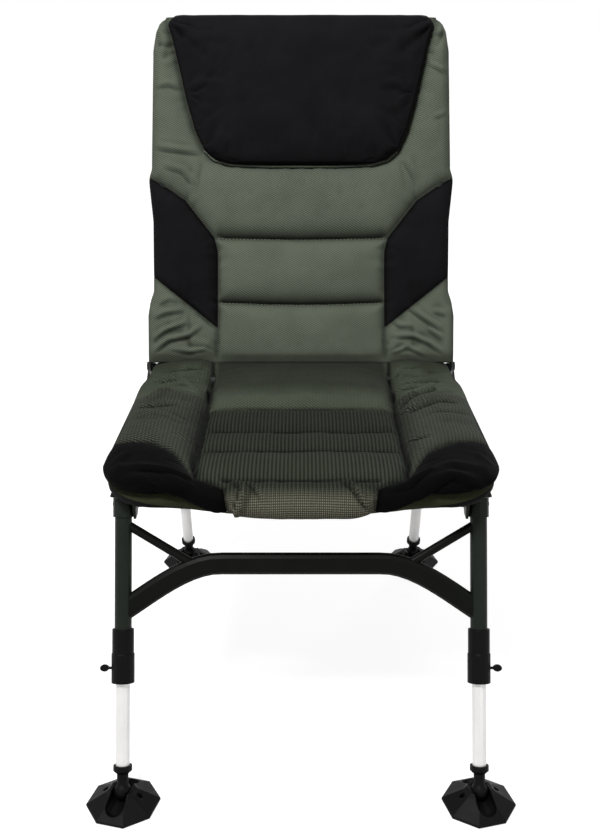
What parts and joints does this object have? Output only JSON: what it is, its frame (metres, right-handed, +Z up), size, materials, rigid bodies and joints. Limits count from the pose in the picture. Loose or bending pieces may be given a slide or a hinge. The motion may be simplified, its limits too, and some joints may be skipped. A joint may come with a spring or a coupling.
{
  "type": "folding fishing chair",
  "caption": "Padded reclining fishing chair on two folding tube leg frames, with telescopic legs, thumbscrew clamps and tilting round mud feet.",
  "frame": {"origin": "Middle of the bounding box on the floor, with all four foot plates standing on Z = 0.", "axes": "+X to the viewer's right across the seat, +Y to the back of the chair, +Z up."},
  "size_m": [0.5882, 0.8572, 0.9935],
  "materials": {
    "frame_paint": "satin dark green-grey powder coat",
    "black_steel": "blackened steel",
    "bright_tube": "smooth bright drawn tube",
    "black_plastic": "matt moulded black",
    "seat_fabric": "dark olive ribbed mesh and plain woven cloth over foam",
    "olive_fabric": "olive plain woven cloth",
    "black_fabric": "black woven cloth over foam"
  },
  "bodies": {
    "seat": {"seat_frame": "frame_paint", "seat_rear_bar": "black_steel", "seat_sling": "olive_fabric", "seat_pad": "seat_fabric", "cover_crease": "olive_fabric", "back_ear_left": "black_steel", "back_pivot_bolt_left": "black_steel", "back_ear_right": "black_steel", "back_pivot_bolt_right": "black_steel", "front_bracket_left": "frame_paint", "front_hinge_bolt_left": "black_steel", "front_bracket_right": "frame_paint", "front_hinge_bolt_right": "black_steel", "rear_bracket_left": "black_steel", "rear_hinge_bolt_left": "black_steel", "rear_bracket_right": "black_steel", "rear_hinge_bolt_right": "black_steel"},
    "back": {"back_frame": "frame_paint", "back_lower_bar": "frame_paint", "back_pad": "olive_fabric", "headrest": "black_fabric", "back_rear_panel": "olive_fabric", "back_hinge_plate_left": "black_steel", "back_hinge_plate_right": "black_steel"},
    "front_legs": {"front_stretcher": "frame_paint", "front_sleeve_left": "frame_paint", "front_leg_tube_left": "frame_paint", "front_brace_left": "frame_paint", "front_clamp_left": "black_plastic", "front_sleeve_right": "frame_paint", "front_leg_tube_right": "frame_paint", "front_brace_right": "frame_paint", "front_clamp_right": "black_plastic"},
    "front_inner_leg_left": {"front_inner_tube_left": "bright_tube"},
    "front_ball_left": {"front_ball_neck_left": "black_plastic"},
    "front_foot_left": {"front_foot_plate_left": "black_plastic"},
    "front_screw_left": {"front_knob_left": "black_plastic"},
    "front_inner_leg_right": {"front_inner_tube_right": "bright_tube"},
    "front_ball_right": {"front_ball_neck_right": "black_plastic"},
    "front_foot_right": {"front_foot_plate_right": "black_plastic"},
    "front_screw_right": {"front_knob_right": "black_plastic"},
    "rear_legs": {"rear_stretcher": "black_steel", "rear_sleeve_left": "black_steel", "rear_leg_tube_left": "black_steel", "rear_brace_left": "black_steel", "rear_clamp_left": "black_plastic", "rear_sleeve_right": "black_steel", "rear_leg_tube_right": "black_steel", "rear_brace_right": "black_steel", "rear_clamp_right": "black_plastic"},
    "rear_inner_leg_left": {"rear_inner_tube_left": "bright_tube"},
    "rear_ball_left": {"rear_ball_neck_left": "black_plastic"},
    "rear_foot_left": {"rear_foot_plate_left": "black_plastic"},
    "rear_screw_left": {"rear_knob_left": "black_plastic"},
    "rear_inner_leg_right": {"rear_inner_tube_right": "bright_tube"},
    "rear_ball_right": {"rear_ball_neck_right": "black_plastic"},
    "rear_foot_right": {"rear_foot_plate_right": "black_plastic"},
    "rear_screw_right": {"rear_knob_right": "black_plastic"}
  },
  "joints": [
    {"name": "back_recline", "type": "hinge", "parent": "seat", "child": "back", "pos_m": [0, 0.22766, 0.43], "axis": [1, 0, 0], "range_deg": [-15, 95], "deforming": ["cover_crease"]},
    {"name": "front_leg_fold", "type": "hinge", "parent": "seat", "child": "front_legs", "pos_m": [0, -0.22534, 0.383], "axis": [1, 0, 0], "range_deg": [0, 96]},
    {"name": "front_leg_slide_left", "type": "slide", "parent": "front_legs", "child": "front_inner_leg_left", "axis": [0, 0.3907, 0.9205], "range_m": [-0.045, 0.1]},
    {"name": "front_ball_turn_left", "type": "hinge", "parent": "front_inner_leg_left", "child": "front_ball_left", "pos_m": [-0.244, -0.37858, 0.022], "axis": [0, 0.3907, 0.9205], "continuous": true},
    {"name": "front_foot_tilt_left", "type": "hinge", "parent": "front_ball_left", "child": "front_foot_left", "pos_m": [-0.244, -0.37858, 0.022], "axis": [1, 0, 0], "range_deg": [-58, 18]},
    {"name": "front_knob_turn_left", "type": "hinge", "parent": "front_legs", "child": "front_screw_left", "pos_m": [-0.264, -0.31326, 0.17589], "axis": [-1, 0, 0], "continuous": true},
    {"name": "front_leg_slide_right", "type": "slide", "parent": "front_legs", "child": "front_inner_leg_right", "axis": [0, 0.3907, 0.9205], "range_m": [-0.045, 0.1]},
    {"name": "front_ball_turn_right", "type": "hinge", "parent": "front_inner_leg_right", "child": "front_ball_right", "pos_m": [0.244, -0.37858, 0.022], "axis": [0, 0.3907, 0.9205], "continuous": true},
    {"name": "front_foot_tilt_right", "type": "hinge", "parent": "front_ball_right", "child": "front_foot_right", "pos_m": [0.244, -0.37858, 0.022], "axis": [1, 0, 0], "range_deg": [-58, 18]},
    {"name": "front_knob_turn_right", "type": "hinge", "parent": "front_legs", "child": "front_screw_right", "pos_m": [0.264, -0.31326, 0.17589], "axis": [1, 0, 0], "continuous": true},
    {"name": "rear_leg_fold", "type": "hinge", "parent": "seat", "child": "rear_legs", "pos_m": [0, 0.18966, 0.383], "axis": [1, 0, 0], "range_deg": [-82, 0]},
    {"name": "rear_leg_slide_left", "type": "slide", "parent": "rear_legs", "child": "rear_inner_leg_left", "axis": [0, -0.3007, 0.9537], "range_m": [-0.055, 0.088]},
    {"name": "rear_ball_turn_left", "type": "hinge", "parent": "rear_inner_leg_left", "child": "rear_ball_left", "pos_m": [-0.218, 0.30348, 0.022], "axis": [0, -0.3007, 0.9537], "continuous": true},
    {"name": "rear_foot_tilt_left", "type": "hinge", "parent": "rear_ball_left", "child": "rear_foot_left", "pos_m": [-0.218, 0.30348, 0.022], "axis": [1, 0, 0], "range_deg": [-22, 54]},
    {"name": "rear_knob_turn_left", "type": "hinge", "parent": "rear_legs", "child": "rear_screw_left", "pos_m": [-0.238, 0.25732, 0.16841], "axis": [-1, 0, 0], "continuous": true},
    {"name": "rear_leg_slide_right", "type": "slide", "parent": "rear_legs", "child": "rear_inner_leg_right", "axis": [0, -0.3007, 0.9537], "range_m": [-0.055, 0.088]},
    {"name": "rear_ball_turn_right", "type": "hinge", "parent": "rear_inner_leg_right", "child": "rear_ball_right", "pos_m": [0.218, 0.30348, 0.022], "axis": [0, -0.3007, 0.9537], "continuous": true},
    {"name": "rear_foot_tilt_right", "type": "hinge", "parent": "rear_ball_right", "child": "rear_foot_right", "pos_m": [0.218, 0.30348, 0.022], "axis": [1, 0, 0], "range_deg": [-22, 54]},
    {"name": "rear_knob_turn_right", "type": "hinge", "parent": "rear_legs", "child": "rear_screw_right", "pos_m": [0.238, 0.25732, 0.16841], "axis": [1, 0, 0], "continuous": true}
  ]
}
